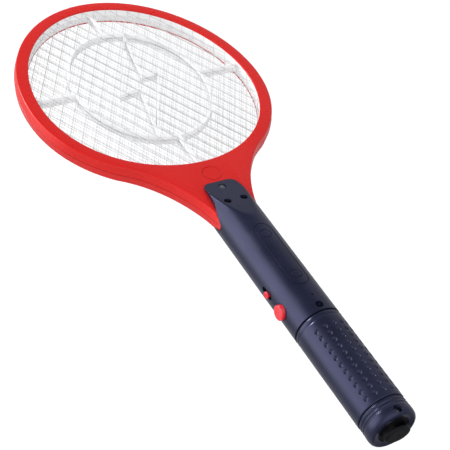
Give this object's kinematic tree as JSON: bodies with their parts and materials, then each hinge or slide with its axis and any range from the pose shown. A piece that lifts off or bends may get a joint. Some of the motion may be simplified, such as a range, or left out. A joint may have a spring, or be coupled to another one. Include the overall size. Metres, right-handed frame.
{
  "type": "electric fly swatter",
  "caption": "Racket-shaped electric insect swatter: oval red frame with wire grids and a round battery handle with slide switch and push button.",
  "frame": {"origin": "centre of the flat butt end of the end cap", "axes": "+Y along the handle to the tip of the head, +Z out of the front face, +X to the right"},
  "size_m": [0.1934, 0.464, 0.034],
  "materials": {
    "red_plastic": "moulded, satin gloss",
    "navy_plastic": "moulded, satin",
    "white_plastic": "moulded",
    "grid_steel": "plated wire",
    "screw_steel": "zinc plated",
    "red_button": "moulded, gloss",
    "led_lens": "clear tinted",
    "board": "solder mask",
    "copper": "enamelled winding",
    "ferrite": "sintered",
    "film_capacitor": "dipped",
    "black_plastic": "moulded",
    "resistor": "lacquered",
    "lead_red": "insulated wire",
    "lead_black": "insulated wire",
    "nickel": "nickel plated",
    "battery": "printed sleeve, no marking"
  },
  "bodies": {
    "handle": {"head_front_ring": "red_plastic", "head_back_ring": "red_plastic", "spacer_front": "white_plastic", "spacer_back": "white_plastic", "outer_grid_front": "grid_steel", "center_grid": "grid_steel", "outer_grid_back": "grid_steel", "handle_front_shell": "navy_plastic", "handle_back_shell": "navy_plastic", "neck_screw_1": "screw_steel", "neck_screw_2": "screw_steel", "neck_screw_3": "screw_steel", "shell_screw": "screw_steel", "indicator_led": "led_lens", "slide_switch_body": "screw_steel", "button_switch_body": "black_plastic", "circuit_board": "board", "transformer_core": "ferrite", "transformer_coil": "copper", "hv_capacitor": "film_capacitor", "smoothing_capacitor": "black_plastic", "oscillator_transistor": "black_plastic", "rectifier_diode_1": "black_plastic", "rectifier_diode_2": "black_plastic", "rectifier_diode_3": "black_plastic", "bleed_resistor": "resistor", "base_resistor": "resistor", "led_resistor": "resistor", "front_grid_lead": "lead_black", "center_grid_lead": "lead_red", "back_grid_lead": "lead_black", "battery_lead_positive": "lead_red", "battery_lead_negative": "lead_black", "grip_barrel": "navy_plastic", "battery_contact_carrier": "black_plastic", "contact_plate_positive": "nickel", "contact_plate_negative": "nickel", "contact_spring_upper": "nickel"},
    "slide_knob": {"slide_switch_knob": "red_button"},
    "button": {"push_button": "red_button", "button_switch_plunger": "black_plastic"},
    "cap": {"end_cap": "navy_plastic", "end_cap_screw": "screw_steel", "battery_bridge_plate": "nickel", "contact_spring_lower": "nickel"},
    "cells": {"battery_1": "battery", "battery_2": "battery"}
  },
  "joints": [
    {"name": "power_slide", "type": "slide", "parent": "handle", "child": "slide_knob", "axis": [0, 1, 0], "range_m": [0, 0.0035]},
    {"name": "button_press", "type": "slide", "parent": "handle", "child": "button", "axis": [1, 0, 0], "range_m": [0, 0.0014], "stiffness_N_per_m": 300},
    {"name": "cap_pull", "type": "slide", "parent": "handle", "child": "cap", "axis": [0, -1, 0], "range_m": [0, 0.125]},
    {"name": "cells_out", "type": "slide", "parent": "handle", "child": "cells", "axis": [0, -1, 0], "range_m": [0, 0.0625]}
  ],
  "couplings": [
    {"joint": "cells_out", "follows": "cap_pull", "ratio": 0.5}
  ]
}
